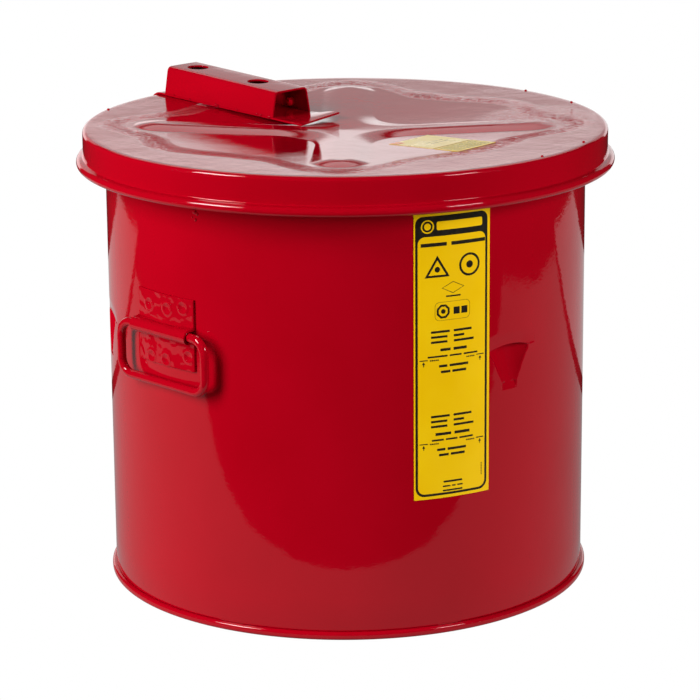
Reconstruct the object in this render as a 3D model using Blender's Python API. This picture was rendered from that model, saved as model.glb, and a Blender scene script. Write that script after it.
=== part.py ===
"""Parts washer tank: a round steel tank with a hinged lid, two drop handles and a lift-out basket.

Metres, +Z up. The origin is on the floor at the middle of the tank. -Y is the front, +Y is the
hinge side, and the drop handles are on the -X and +X sides.
"""

from math import atan2, cos, hypot, pi, radians, sin, sqrt

import bmesh
import bpy
from mathutils import Matrix, Vector

# ---------------------------------------------------------------- driving dimensions
GAP = 0.0003            # between pieces that touch
SHEET = 0.001           # tank and lid sheet steel
THICK_SHEET = 0.0015    # brackets and housing

TANK_R = 0.174          # outside of the tank wall
TANK_TOP = 0.3262       # upper edge of the tank wall
CHIME_R = 0.177         # outside of the rolled bottom seam
CHIME_HEIGHT = 0.006
BOTTOM_Z = 0.0035       # underside of the recessed bottom
RIM_WIRE_R = 0.004      # rolled rim around the top of the wall

LID_TOP = 0.3325
LID_R = 0.190           # outside of the lid's skirt
LID_SHOULDER = 0.003
LID_BEAD_R = 0.195      # outside of the curled lower edge
LID_BEAD_LOW = 0.3057
LID_BEAD_HIGH = 0.3125
LAND_SLOPE = 0.022      # the lid's top falls gently towards the star
STAR_EDGE_DEPTH = 0.002     # the star is pressed in, and dished towards the middle
STAR_CENTRE_DEPTH = 0.0075
STAR_DISH_R = 0.150
STAR_BLEND = 0.014      # width of the slope round the star
STAR_WAIST = 0.128      # nearest point of the star's outline to the centre
STAR_TIP = 0.168        # farthest point of a lobe
CROSS_HEIGHT = 0.0028       # a raised cross stands in the star, one arm to each lobe
CROSS_HALF_WIDTH = 0.020
CROSS_REACH = 0.153
CROSS_SLOPE = 0.013
CROSS_FILLET = 0.040

LEDGE_ANGLES = (-3, 117, -123)   # degrees from the front, counter-clockwise from above
LEDGE_TOP = 0.2045
LEDGE_LOW = 0.170
LEDGE_DEPTH = 0.012
LEDGE_HALF_WIDTH = 0.019

BRACKET_WIDTH = 0.058
BRACKET_LOW = 0.185
BRACKET_HIGH = 0.2365
HANDLE_Z = 0.2108       # axis of the handle's top bar
HANDLE_ROD_R = 0.003175
HANDLE_WIDTH = 0.0955
HANDLE_HEIGHT = 0.0445
HANDLE_CORNER = 0.011

HINGE_PIN_R = 0.0025
STRAP_THICK = 0.0015
STRAP_BEND = 0.0103     # inside radius of the bend over the lid's edge
STRAP_HALF = 0.0192
STRAP_INNER_Y = 0.026
STRAP_OUTER_Y = 0.185
STRAP_INNER_Z = LID_TOP - 0.0032
STRAP_OUTER_Z = LID_TOP + GAP
KNUCKLE_BORE = HINGE_PIN_R + GAP
HINGE_Y = STRAP_OUTER_Y + STRAP_BEND - KNUCKLE_BORE
HINGE_Z = 0.298
HINGE_PLATE_HALF = 0.030
HINGE_PLATE_THICK = 0.002
HINGE_PLATE_LOW = 0.262
HINGE_PLATE_HIGH = 0.296
EAR_THICK = 0.0025

HOUSING_INNER_Y = 0.0575
HOUSING_OUTER_Y = 0.179
HOUSING_INNER_HEIGHT = 0.0187
HOUSING_OUTER_HEIGHT = 0.0204
HOUSING_TOP_HALF = 0.0163
HOUSING_CORNER = 0.004
HOUSING_HOLE_R = 0.008
HOUSING_HOLES_Y = (0.162, 0.094)

BODY_LABEL_ANGLE = -18.8
BODY_LABEL_WIDTH = 0.058
BODY_LABEL_LOW = 0.0995
BODY_LABEL_HIGH = 0.301
LID_LABEL_CENTRE = (0.0077, -0.0914)
LID_LABEL_ANGLE = 4.8
LID_LABEL_SIZE = (0.042, 0.063)
LABEL_THICK = 0.0003

BASKET_R = 0.153
BASKET_SHEET = 0.0012
BASKET_LOW = 0.0053
BASKET_RIM_Z = 0.103
BASKET_RIM_R = 0.154
BASKET_RIM_WIRE = 0.0024
LUG_ANGLES = (57, 177, -63)
LUG_REACH = 0.167
LUG_WIDTH = 0.024
LUG_Z = 0.085
BAIL_Z = BASKET_RIM_Z + 0.007
BAIL_R = 0.145
BAIL_WIRE = 0.0022
GRIP_R = 0.007
GRIP_HALF_ANGLE = 17


# ---------------------------------------------------------------- scene, materials, placing
for old in list(bpy.data.objects):
    bpy.data.objects.remove(old, do_unlink=True)


def material(name, colour, roughness, metallic=0.0):
    """A plain finish: colour, roughness and metallic value."""
    finish = bpy.data.materials.new(name)
    finish.use_nodes = True
    shader = finish.node_tree.nodes["Principled BSDF"]
    shader.inputs["Base Color"].default_value = (*colour, 1)
    shader.inputs["Roughness"].default_value = roughness
    shader.inputs["Metallic"].default_value = metallic
    return finish


RED = material("red_enamel", (0.50, 0.006, 0.02), 0.12)
ZINC = material("zinc_plate", (0.62, 0.62, 0.60), 0.35, 1.0)
YELLOW = material("label_film", (0.85, 0.65, 0.03), 0.4)
PALE = material("label_film_pale", (0.80, 0.76, 0.40), 0.4)


def pivot(name, location):
    """An empty on a joint's axis, which carries the pieces that move there."""
    empty = bpy.data.objects.new(name, None)
    empty.location = location
    bpy.context.collection.objects.link(empty)
    return empty


LID = pivot("lid_pivot", (0, HINGE_Y, HINGE_Z))
BASKET = pivot("basket_pivot", (0, 0, 0))
BAIL = pivot("bail_pivot", (0, 0, BAIL_Z))


def add(name, bm, finish, parent=None, sharp=35):
    """Turn a bmesh in world coordinates into a named piece, its origin at its parent's."""
    bmesh.ops.remove_doubles(bm, verts=bm.verts, dist=1e-6)
    bmesh.ops.recalc_face_normals(bm, faces=bm.faces)
    if parent:
        bmesh.ops.translate(bm, verts=bm.verts, vec=-parent.location)
    mesh = bpy.data.meshes.new(name)
    bm.to_mesh(mesh)
    bm.free()
    mesh.shade_smooth()
    mesh.set_sharp_from_angle(angle=radians(sharp))
    mesh.materials.append(finish)
    piece = bpy.data.objects.new(name, mesh)
    bpy.context.collection.objects.link(piece)
    piece.parent = parent
    return piece


def cutter(name, bm):
    """A guide that a Boolean reads and that isn't part of the object."""
    tool = add(name, bm, RED)
    tool.hide_render = True
    tool.display_type = "WIRE"
    return tool


def boolean(piece, operation, tool):
    step = piece.modifiers.new(operation.lower(), "BOOLEAN")
    step.operation = operation
    step.solver = "EXACT"
    step.object = tool


def turned(profile, steps):
    """A closed (radius, height) outline turned round the Z axis."""
    bm = bmesh.new()
    corners = [bm.verts.new((r, 0, z)) for r, z in profile]
    edges = [bm.edges.new((corners[i - 1], corners[i])) for i in range(len(corners))]
    bmesh.ops.spin(bm, geom=corners + edges, cent=(0, 0, 0), axis=(0, 0, 1), angle=2 * pi,
                   steps=steps, use_merge=True, use_duplicate=False)
    bmesh.ops.remove_doubles(bm, verts=bm.verts, dist=1e-6)
    return bm


def arc(centre, radius, start, end, count):
    """Points on an arc, from one angle to another, in degrees."""
    angles = [radians(start + (end - start) * i / count) for i in range(count + 1)]
    return [(centre[0] + radius * cos(a), centre[1] + radius * sin(a)) for a in angles]


def loft(rings, closed=False):
    """Skin a list of equal rings of points; open ends get a face each."""
    bm = bmesh.new()
    loops = [[bm.verts.new(point) for point in ring] for ring in rings]
    pairs = list(zip(loops, loops[1:]))
    if closed:
        pairs.append((loops[-1], loops[0]))
    for first, second in pairs:
        for i in range(len(first)):
            bm.faces.new((first[i - 1], first[i], second[i], second[i - 1]))
    if not closed:
        bm.faces.new(loops[0])
        bm.faces.new(list(reversed(loops[-1])))
    return bm


def prism_x(outline, x_low, x_high):
    """A (y, z) outline extruded along X."""
    return loft([[(x, y, z) for y, z in outline] for x in (x_low, x_high)])


def around_z(bm, degrees):
    """Turn what is built at the front to its place round the tank."""
    bmesh.ops.rotate(bm, verts=bm.verts, cent=(0, 0, 0), matrix=Matrix.Rotation(radians(degrees), 3, "Z"))
    return bm


def cylinder_x(radius, x_low, x_high, y, z, segments=20):
    outline = arc((y, z), radius, 0, 360, segments)[:-1]
    return prism_x(outline, x_low, x_high)


def sleeve(path, inner, outer, segments):
    """A tube with a bore, along points in a horizontal plane."""
    bm = bmesh.new()
    rings = []
    for i, point in enumerate(path):
        ahead = Vector(path[min(i + 1, len(path) - 1)]) - Vector(path[max(i - 1, 0)])
        across = ahead.normalized().cross(Vector((0, 0, 1)))
        spots = []
        for radius in (inner, outer):
            for k in range(segments):
                turn = 2 * pi * k / segments
                offset = across * radius * cos(turn) + Vector((0, 0, radius * sin(turn)))
                spots.append(bm.verts.new(Vector(point) + offset))
        rings.append((spots[:segments], spots[segments:]))
    for (in_a, out_a), (in_b, out_b) in zip(rings, rings[1:]):
        for k in range(segments):
            bm.faces.new((in_a[k - 1], in_a[k], in_b[k], in_b[k - 1]))
            bm.faces.new((out_a[k], out_a[k - 1], out_b[k - 1], out_b[k]))
    for inside, outside in (rings[0], rings[-1]):
        for k in range(segments):
            bm.faces.new((inside[k - 1], inside[k], outside[k], outside[k - 1]))
    return bm


def rod(name, points, radius, finish, parent=None, cyclic=False):
    """A round bar bent along points."""
    curve = bpy.data.curves.new(name, "CURVE")
    curve.dimensions = "3D"
    curve.bevel_depth = radius
    curve.bevel_resolution = 2
    curve.use_fill_caps = not cyclic
    spline = curve.splines.new("POLY")
    spline.points.add(len(points) - 1)
    base = parent.location if parent else Vector((0, 0, 0))
    for spot, point in zip(spline.points, points):
        spot.co = (*(Vector(point) - base), 1)
    spline.use_cyclic_u = cyclic
    curve.materials.append(finish)
    piece = bpy.data.objects.new(name, curve)
    bpy.context.collection.objects.link(piece)
    piece.parent = parent
    return piece


def smooth(value):
    """A soft step from 0 to 1."""
    value = min(1, max(0, value))
    return value * value * (3 - 2 * value)


# ---------------------------------------------------------------- tank
def tank_shell():
    """The wall, with three ledges pressed inwards for the lifted basket to stand on."""
    inner = TANK_R - SHEET
    low = CHIME_HEIGHT + GAP
    mid_levels = (0.120, LEDGE_LOW, 0.179, 0.188, 0.197, LEDGE_TOP - 0.0012, LEDGE_TOP, 0.250)
    outer_levels = (low, *mid_levels, TANK_TOP)
    profile = [(TANK_R, z) for z in reversed(outer_levels)] + [(inner, z) for z in outer_levels]
    bm = turned(profile, 72)
    for vert in bm.verts:
        angle = atan2(vert.co.x, -vert.co.y)
        vert.co.xy *= 1 - ledge_depth(angle, vert.co.z) / TANK_R
    return add("tank_shell", bm, RED)


def ledge_depth(angle, z):
    """How far the wall is pressed in: deepest under the flat top, fading to a point below."""
    if not LEDGE_LOW < z < LEDGE_TOP - 0.0006:
        return 0
    rise = (z - LEDGE_LOW) / (LEDGE_TOP - LEDGE_LOW)
    depth = 0
    for centre in LEDGE_ANGLES:
        turn = (angle - radians(centre) + pi) % (2 * pi) - pi
        across = abs(turn) * TANK_R / (LEDGE_HALF_WIDTH * (0.35 + 0.65 * rise))
        depth = max(depth, LEDGE_DEPTH * rise * smooth(1.25 - across))
    return depth


def tank_rings():
    """The seam at the foot, the recessed bottom and the rolled rim."""
    low_r = TANK_R - 0.003
    edge = 0.0012
    seam = [(CHIME_R, CHIME_HEIGHT - edge), (CHIME_R, edge), (CHIME_R - edge, 0), (low_r + edge, 0),
            (low_r, edge), (low_r, CHIME_HEIGHT), (CHIME_R - edge, CHIME_HEIGHT)]
    add("bottom_chime", turned(seam, 64), RED)
    disc_r = low_r - GAP
    top = BOTTOM_Z + SHEET
    disc = [(disc_r, top), (disc_r, BOTTOM_Z), (0, BOTTOM_Z), (0, top)]
    add("tank_bottom", turned(disc, 64), RED)
    centre = (TANK_R + RIM_WIRE_R + 0.0006, TANK_TOP - 0.003)
    rim = arc(centre, RIM_WIRE_R, 0, 315, 7)
    add("top_rim", turned(rim, 64), RED)


def wall_point(t, offset):
    """Distance from the tank's axis plane to the wall's outside, plus an offset, at a sideways t."""
    return sqrt((TANK_R + offset) ** 2 - t * t)


def handle_bracket(name, side):
    """A strap against the wall with a half-round saddle over the handle's top bar."""
    bar = wall_point(0, GAP) + HANDLE_ROD_R
    sections = []
    columns = 8
    for i in range(columns + 1):
        t = BRACKET_WIDTH * (i / columns - 0.5)
        wall = wall_point(t, GAP)
        inside = [(wall, BRACKET_HIGH), (wall, HANDLE_Z + 0.0062)]
        inside += [(x, z) for x, z in arc((bar, HANDLE_Z), HANDLE_ROD_R + 0.0005, 60, -60, 6)]
        inside += [(wall, HANDLE_Z - 0.0062), (wall, BRACKET_LOW)]
        outside = [(wall + THICK_SHEET, BRACKET_LOW), (wall + THICK_SHEET, HANDLE_Z - 0.0075)]
        outside += [(x, z) for x, z in arc((bar, HANDLE_Z), HANDLE_ROD_R + 0.0005 + THICK_SHEET, -60, 60, 6)]
        outside += [(wall + THICK_SHEET, HANDLE_Z + 0.0075), (wall + THICK_SHEET, BRACKET_HIGH)]
        sections.append([(side * x, t, z) for x, z in inside + outside])
    return add(name, loft(sections), RED)


def handle_ring(name, side):
    """A rectangular ring of rod with round corners, hanging against the wall."""
    pivot_x = wall_point(0, GAP) + HANDLE_ROD_R
    empty = pivot(name + "_pivot", (side * pivot_x, 0, HANDLE_Z))
    half = HANDLE_WIDTH / 2 - HANDLE_ROD_R - HANDLE_CORNER
    drop = HANDLE_HEIGHT - 2 * HANDLE_ROD_R
    top = HANDLE_Z - HANDLE_CORNER
    low = HANDLE_Z - drop + HANDLE_CORNER
    outline = arc((half, top), HANDLE_CORNER, 0, 90, 5) + arc((-half, top), HANDLE_CORNER, 90, 180, 5)
    outline += arc((-half, low), HANDLE_CORNER, 180, 270, 5) + arc((half, low), HANDLE_CORNER, 270, 360, 5)
    points = [(side * pivot_x, t, z) for t, z in outline]
    return rod(name, points, HANDLE_ROD_R, RED, empty, cyclic=True)


def hinge_bracket():
    """A plate curved to the wall, with two ears that hold the hinge pin."""
    columns = 8
    sections = []
    for i in range(columns + 1):
        x = HINGE_PLATE_HALF * (2 * i / columns - 1)
        near = wall_point(x, GAP)
        far = wall_point(x, GAP + HINGE_PLATE_THICK)
        sections.append([(x, near, HINGE_PLATE_LOW), (x, far, HINGE_PLATE_LOW),
                         (x, far, HINGE_PLATE_HIGH), (x, near, HINGE_PLATE_HIGH)])
    plate = add("hinge_bracket", loft(sections), RED)
    root = TANK_R + GAP + 0.0004
    outline = arc((HINGE_Y, HINGE_Z), 0.0052, -50, 100, 8)
    outline += [(root, HINGE_Z - 0.0035), (root, HINGE_Z - 0.030)]
    inside = STRAP_HALF + GAP
    for side, name in ((-1, "ear_left_shape"), (1, "ear_right_shape")):
        ends = sorted((side * inside, side * (inside + EAR_THICK)))
        boolean(plate, "UNION", cutter(name, prism_x(outline, *ends)))
    bore = cylinder_x(HINGE_PIN_R + GAP, -0.03, 0.03, HINGE_Y, HINGE_Z)
    boolean(plate, "DIFFERENCE", cutter("hinge_bore", bore))
    return plate


def hinge_pin():
    """A headed pin through both ears and the knuckle, peened over at its far end."""
    reach = STRAP_HALF + 2 * GAP + EAR_THICK
    head = HINGE_PIN_R + 0.0015
    end = reach + 0.0018
    upper = [(head - 0.0005, end), (head, end - 0.0006), (head, reach), (HINGE_PIN_R, reach)]
    lower = [(r, -z) for r, z in reversed(upper)]
    bm = turned([(0, end), *upper, *lower, (0, -end)], 16)
    bmesh.ops.rotate(bm, verts=bm.verts, cent=(0, 0, 0), matrix=Matrix.Rotation(pi / 2, 3, "Y"))
    bmesh.ops.translate(bm, verts=bm.verts, vec=(0, HINGE_Y, HINGE_Z))
    return add("hinge_pin", bm, ZINC)


def dome(radius, height, place, outward):
    """A rivet head: a low dome standing on its flat face."""
    profile = [(radius * cos(a), height * sin(a)) for a in (0, pi / 6, pi / 3, pi / 2)] + [(0, 0)]
    bm = turned(profile, 12)
    turn = Vector((0, 0, 1)).rotation_difference(Vector(outward)).to_matrix()
    bmesh.ops.rotate(bm, verts=bm.verts, cent=(0, 0, 0), matrix=turn)
    bmesh.ops.translate(bm, verts=bm.verts, vec=place)
    return bm


def hinge_rivets():
    """Four rivets that hold the hinge bracket to the wall."""
    for column, x in (("left", -0.0255), ("right", 0.0255)):
        for row, z in (("low", 0.268), ("high", 0.288)):
            place = (x, wall_point(x, HINGE_PLATE_THICK + 2 * GAP), z)
            outward = Vector((x, place[1], 0)).normalized()
            add(f"hinge_rivet_{column}_{row}", dome(0.0032, 0.0018, place, outward), RED)


def body_label():
    """A printed film on the wall, left of the front ledge."""
    half = BODY_LABEL_WIDTH / 2 / TANK_R
    sections = []
    for i in range(13):
        angle = radians(BODY_LABEL_ANGLE) + half * (i / 6 - 1)
        section = []
        for radius, z in ((TANK_R + GAP, BODY_LABEL_LOW), (TANK_R + GAP + LABEL_THICK, BODY_LABEL_LOW),
                          (TANK_R + GAP + LABEL_THICK, BODY_LABEL_HIGH), (TANK_R + GAP, BODY_LABEL_HIGH)):
            section.append((radius * sin(angle), -radius * cos(angle), z))
        sections.append(section)
    return add("body_label", loft(sections), YELLOW)


# ---------------------------------------------------------------- lid
def star_outline(angle):
    """The star's radius in one direction: four round lobes joined by nearly straight sides."""
    turn = abs(angle % (pi / 2) - pi / 4)
    lobe = smooth(1 - turn / radians(30))
    return STAR_WAIST + (STAR_TIP - STAR_WAIST) * lobe


def star_floor(r):
    """Height of the star's dished floor, from the lid's top."""
    middle = 1 - min(r, STAR_DISH_R) / STAR_DISH_R
    return -STAR_EDGE_DEPTH - (STAR_CENTRE_DEPTH - STAR_EDGE_DEPTH) * middle


def lid_relief(x, y):
    """Height of the pressed relief: a sunk star that carries a raised cross."""
    r = hypot(x, y)
    sunk = smooth((star_outline(atan2(y, x)) - r) / STAR_BLEND + 0.5)
    land = -LAND_SLOPE * max(0, LID_R - LID_SHOULDER - r)
    return (star_floor(r) + CROSS_HEIGHT * cross_share(x, y)) * sunk + land * (1 - sunk)


def cross_share(x, y):
    """0 outside the cross, 1 on its flat top: two round-ended bars, joined by wide fillets."""
    along, across = abs(x + y) / sqrt(2), abs(x - y) / sqrt(2)
    straight = CROSS_REACH - CROSS_HALF_WIDTH
    first = hypot(max(along - straight, 0), across) - CROSS_HALF_WIDTH
    second = hypot(max(across - straight, 0), along) - CROSS_HALF_WIDTH
    near = max(CROSS_FILLET - abs(first - second), 0) / CROSS_FILLET
    outside = min(first, second) - near * near * CROSS_FILLET / 4
    return smooth(-outside / CROSS_SLOPE)


def lid_cover():
    """The pressed lid: flat top with the star, round shoulder, skirt and curled edge."""
    radii = (0.176, 0.164, 0.152, 0.143, 0.135, 0.128, 0.121, 0.107, 0.089, 0.070, 0.052, 0.040, 0.028, 0.014)
    inner = LID_R - SHEET
    flat_end = LID_R - LID_SHOULDER
    inner_top = LID_TOP - SHEET
    shoulder = arc((flat_end, LID_TOP - LID_SHOULDER), LID_SHOULDER, 90, 0, 4)
    inner_shoulder = arc((flat_end, LID_TOP - LID_SHOULDER), LID_SHOULDER - SHEET, 0, 90, 2)
    middle = (LID_BEAD_LOW + LID_BEAD_HIGH) / 2
    bead = [(LID_R, LID_BEAD_HIGH + 0.0006), (LID_R + 0.0008, LID_BEAD_HIGH - 0.0003),
            (LID_BEAD_R - 0.0014, LID_BEAD_HIGH - 0.0006), (LID_BEAD_R - 0.0002, middle + 0.0014),
            (LID_BEAD_R, middle), (LID_BEAD_R - 0.0002, middle - 0.0014),
            (LID_BEAD_R - 0.0014, LID_BEAD_LOW + 0.0005), (LID_R + 0.001, LID_BEAD_LOW),
            (inner, LID_BEAD_LOW + 0.0008)]
    top = [(r, LID_TOP) for r in reversed(radii)]
    under = [(r, inner_top) for r in radii]
    profile = [(0, LID_TOP), *top, *shoulder, *bead, *inner_shoulder, *under, (0, inner_top)]
    bm = turned(profile, 64)
    for vert in bm.verts:
        if hypot(vert.co.x, vert.co.y) < radii[0] + 0.001:
            vert.co.z += lid_relief(vert.co.x, vert.co.y)
    return add("lid_cover", bm, RED, LID)


def strap_slope():
    return (STRAP_OUTER_Z - STRAP_INNER_Z) / (STRAP_OUTER_Y - STRAP_INNER_Y)


def strap_top(y):
    """Height of the strap's upper face over the lid."""
    return STRAP_INNER_Z + strap_slope() * (y - STRAP_INNER_Y) + STRAP_THICK


def hinge_strap():
    """A flat bar along the lid, bent down over its edge and rolled round the hinge pin."""
    centre = (STRAP_OUTER_Y, STRAP_OUTER_Z - STRAP_BEND)
    pin = (HINGE_Y, HINGE_Z)
    outer = KNUCKLE_BORE + STRAP_THICK
    under = [(STRAP_INNER_Y, STRAP_INNER_Z), *arc(centre, STRAP_BEND, 90, 0, 5)]
    under += arc(pin, KNUCKLE_BORE, 0, -290, 15)
    upper = arc(pin, outer, -290, 0, 15)
    upper += [*arc(centre, STRAP_BEND + STRAP_THICK, 0, 90, 5), (STRAP_INNER_Y, strap_top(STRAP_INNER_Y))]
    return add("hinge_strap", prism_x(under + upper, -STRAP_HALF, STRAP_HALF), RED, LID)


def housing_section(inset, height):
    """The housing's outline across the strap, an inset inside its outer face."""
    foot = STRAP_HALF - inset
    top = HOUSING_TOP_HALF - inset
    corner = HOUSING_CORNER - inset
    right = arc((top - corner, height - inset - corner), corner, 8, 90, 4)
    left = [(-x, z) for x, z in reversed(right)]
    return [(foot, 0), *right, *left, (-foot, 0)]


def link_housing():
    """A folded channel on the strap, open at both ends, with two round holes in its top."""
    ends = []
    for y, height in ((HOUSING_INNER_Y, HOUSING_INNER_HEIGHT), (HOUSING_OUTER_Y, HOUSING_OUTER_HEIGHT)):
        outline = housing_section(0, height) + list(reversed(housing_section(THICK_SHEET, height)))
        base = strap_top(y) + GAP
        ends.append([(x, y, base + z) for x, z in outline])
    piece = add("link_housing", loft(ends), RED, LID)
    for i, y in enumerate(HOUSING_HOLES_Y):
        hole = turned([(HOUSING_HOLE_R, 0.012), (HOUSING_HOLE_R, -0.006), (0, -0.006), (0, 0.012)], 32)
        bmesh.ops.translate(hole, verts=hole.verts, vec=(0, y, strap_top(y) + HOUSING_INNER_HEIGHT))
        boolean(piece, "DIFFERENCE", cutter(f"housing_hole_{i + 1}", hole))
    return piece


def link_rivet():
    """The round-headed rivet inside the housing, on its right-hand wall."""
    y = HOUSING_INNER_Y + 0.018
    height = 0.005
    lean = (STRAP_HALF - HOUSING_TOP_HALF) / HOUSING_INNER_HEIGHT
    wall = STRAP_HALF - THICK_SHEET - lean * height - 2 * GAP
    outward = Vector((-1, 0, -lean)).normalized()
    place = (wall, y, strap_top(y) + GAP + height)
    return add("link_rivet", dome(0.0033, 0.0024, place, outward), RED, LID)


def lid_label():
    """A small printed film lying in the star, in front of the lid's middle."""
    half_x, half_y = LID_LABEL_SIZE[0] / 2, LID_LABEL_SIZE[1] / 2
    corners = [(-half_x, -half_y), (half_x, -half_y), (half_x, half_y), (-half_x, half_y)]
    slope = (STAR_CENTRE_DEPTH - STAR_EDGE_DEPTH) / STAR_DISH_R
    bm = loft([[(x, y, z - slope * y) for x, y in corners] for z in (0, LABEL_THICK)])
    around_z(bm, LID_LABEL_ANGLE)
    seat = LID_TOP + star_floor(hypot(*LID_LABEL_CENTRE)) + 2 * GAP
    bmesh.ops.translate(bm, verts=bm.verts, vec=(*LID_LABEL_CENTRE, seat))
    return add("lid_label", bm, PALE, LID)


# ---------------------------------------------------------------- basket
def basket_shell():
    """The basket's wall, floor and rolled rim."""
    inner = BASKET_R - BASKET_SHEET
    top = BASKET_RIM_Z - BASKET_RIM_WIRE - GAP
    wall = [(BASKET_R, top), (BASKET_R, BASKET_LOW), (inner, BASKET_LOW), (inner, top)]
    add("basket_wall", turned(wall, 56), ZINC, BASKET)
    disc_r = inner - GAP
    disc = [(disc_r, BASKET_LOW + BASKET_SHEET), (disc_r, BASKET_LOW), (0, BASKET_LOW),
            (0, BASKET_LOW + BASKET_SHEET)]
    add("basket_floor", turned(disc, 56), ZINC, BASKET)
    rim = arc((BASKET_RIM_R, BASKET_RIM_Z), BASKET_RIM_WIRE, 0, 315, 7)
    add("basket_rim", turned(rim, 56), ZINC, BASKET)


def basket_lugs():
    """Three feet that stand on the tank's ledges when the basket is lifted and turned."""
    near = BASKET_R + GAP
    outline = [(-near, LUG_Z - 0.024), (-near, LUG_Z), (-LUG_REACH, LUG_Z),
               (-LUG_REACH, LUG_Z - 0.002), (-near - 0.002, LUG_Z - 0.002), (-near - 0.002, LUG_Z - 0.024)]
    for i, angle in enumerate(LUG_ANGLES):
        bm = prism_x(outline, -LUG_WIDTH / 2, LUG_WIDTH / 2)
        add(f"basket_lug_{i + 1}", around_z(bm, angle), ZINC, BASKET)


def bail_ears():
    """Two upright ears inside the rim, each with a hole for the bail."""
    outer_x = BASKET_R - BASKET_SHEET - GAP - 0.0003
    hole = cylinder_x(BAIL_WIRE + 0.0006, -0.16, 0.16, 0, BAIL_Z, 16)
    bore = cutter("bail_bore", hole)
    outline = arc((0, BAIL_Z), 0.0065, 0, 180, 8) + [(-0.009, BAIL_Z - 0.030), (0.009, BAIL_Z - 0.030)]
    for side, name in ((-1, "bail_ear_left"), (1, "bail_ear_right")):
        ends = sorted((side * outer_x, side * (outer_x - 0.002)))
        piece = add(name, prism_x(outline, *ends), ZINC, BASKET)
        boolean(piece, "DIFFERENCE", bore)


def bail():
    """The basket's wire handle, folded forwards onto the rim, with its grip."""
    bend = 0.006
    stub_end = 0.1535
    lead = radians(8)
    steps = 26
    start = [(stub_end, 0), *arc((BAIL_R + bend, -bend), bend, 90, 180, 3)]
    points = list(start)
    for i in range(steps + 1):
        a = lead + (pi - 2 * lead) * i / steps
        points.append((BAIL_R * cos(a), -BAIL_R * sin(a)))
    points += [(-x, y) for x, y in reversed(start)]
    rod("bail_wire", [(x, y, BAIL_Z) for x, y in points], BAIL_WIRE, ZINC, BAIL)
    middle = arc((0, 0), BAIL_R, -90 - GRIP_HALF_ANGLE, -90 + GRIP_HALF_ANGLE, 8)
    path = [(x, y, BAIL_Z) for x, y in middle]
    add("bail_grip", sleeve(path, BAIL_WIRE + 2 * GAP, GRIP_R, 12), ZINC, BAIL)


tank_shell()
tank_rings()
handle_bracket("handle_bracket_left", -1)
handle_bracket("handle_bracket_right", 1)
handle_ring("handle_ring_left", -1)
handle_ring("handle_ring_right", 1)
hinge_bracket()
hinge_pin()
hinge_rivets()
body_label()
lid_cover()
hinge_strap()
link_housing()
link_rivet()
lid_label()
basket_shell()
basket_lugs()
bail_ears()
bail()
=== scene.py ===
"""The looks of the parts washer tank: fine meshes, finishes, a studio and a camera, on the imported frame.

Metres, +Z up, in the frame of the CAD. -Y is the front, +Y is the hinge side.
"""

from math import atan2, cos, hypot, pi, radians, sin, sqrt
from random import Random

import bmesh
import bpy
from mathutils import Matrix, Vector, noise


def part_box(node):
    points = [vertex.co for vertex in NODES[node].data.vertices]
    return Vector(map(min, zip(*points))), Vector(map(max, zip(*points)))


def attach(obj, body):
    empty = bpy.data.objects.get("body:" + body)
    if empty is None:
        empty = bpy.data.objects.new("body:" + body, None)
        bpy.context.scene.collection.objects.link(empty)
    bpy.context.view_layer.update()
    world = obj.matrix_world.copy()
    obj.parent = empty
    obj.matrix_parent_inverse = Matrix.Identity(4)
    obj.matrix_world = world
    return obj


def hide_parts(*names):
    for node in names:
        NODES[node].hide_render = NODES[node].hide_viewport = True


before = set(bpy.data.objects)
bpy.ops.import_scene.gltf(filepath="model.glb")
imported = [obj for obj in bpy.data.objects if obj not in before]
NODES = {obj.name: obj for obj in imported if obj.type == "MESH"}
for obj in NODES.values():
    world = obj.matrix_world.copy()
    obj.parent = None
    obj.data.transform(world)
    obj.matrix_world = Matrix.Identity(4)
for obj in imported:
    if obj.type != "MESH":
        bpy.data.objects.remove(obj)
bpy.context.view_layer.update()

# -------- sizes, as the CAD has them
GAP = 0.0003
SHEET = 0.001
THICK_SHEET = 0.0015

TANK_R = 0.174
TANK_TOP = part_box("tank_shell")[1].z
TANK_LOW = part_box("tank_shell")[0].z
CHIME_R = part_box("bottom_chime")[1].x
CHIME_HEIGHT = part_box("bottom_chime")[1].z
RIM_WIRE_R = 0.004

LID_TOP = 0.3325
LID_R = 0.190
LID_SHOULDER = 0.003
LID_BEAD_R = 0.195
LID_BEAD_LOW = 0.3057
LID_BEAD_HIGH = 0.3125
LAND_SLOPE = 0.020
STAR_EDGE_DEPTH = 0.0008
STAR_CENTRE_DEPTH = 0.0075
STAR_DISH_R = 0.150
STAR_BLEND = 0.014
STAR_WAIST = 0.130
STAR_LOBE = radians(25)
STAR_SWELL = 0.018
STAR_SWELL_ANGLE = radians(-14)
STAR_TIP = 0.168
CROSS_HEIGHT = 0.0028
CROSS_HALF_WIDTH = 0.020
CROSS_REACH = 0.153
CROSS_SLOPE = 0.0145
CROSS_FILLET = 0.040
PEEL_HEIGHT = 0.0004
PEEL_GRAIN = 240
LID_MESH_R = 0.1835

LEDGE_ANGLES = (-3, 117, -123)
LEDGE_TOP = 0.2015
LEDGE_NECK_Z = 0.1745
LEDGE_FOOT_Z = 0.1695
LEDGE_DEPTH = 0.0115
LEDGE_HALF_WIDTH = 0.0185
LEDGE_FLOOR = 0.0018
LEDGE_NECK = 0.0066
LEDGE_FOOT_HALF = 0.0070

BRACKET_WIDTH = 0.058
BRACKET_LOW = 0.185
BRACKET_HIGH = 0.2365
BRACKET_SADDLE = 0.0052
HANDLE_Z = 0.2108
HANDLE_ROD_R = 0.003175
HANDLE_WIDTH = 0.0955
HANDLE_HEIGHT = 0.0445
HANDLE_CORNER = 0.011

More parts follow.
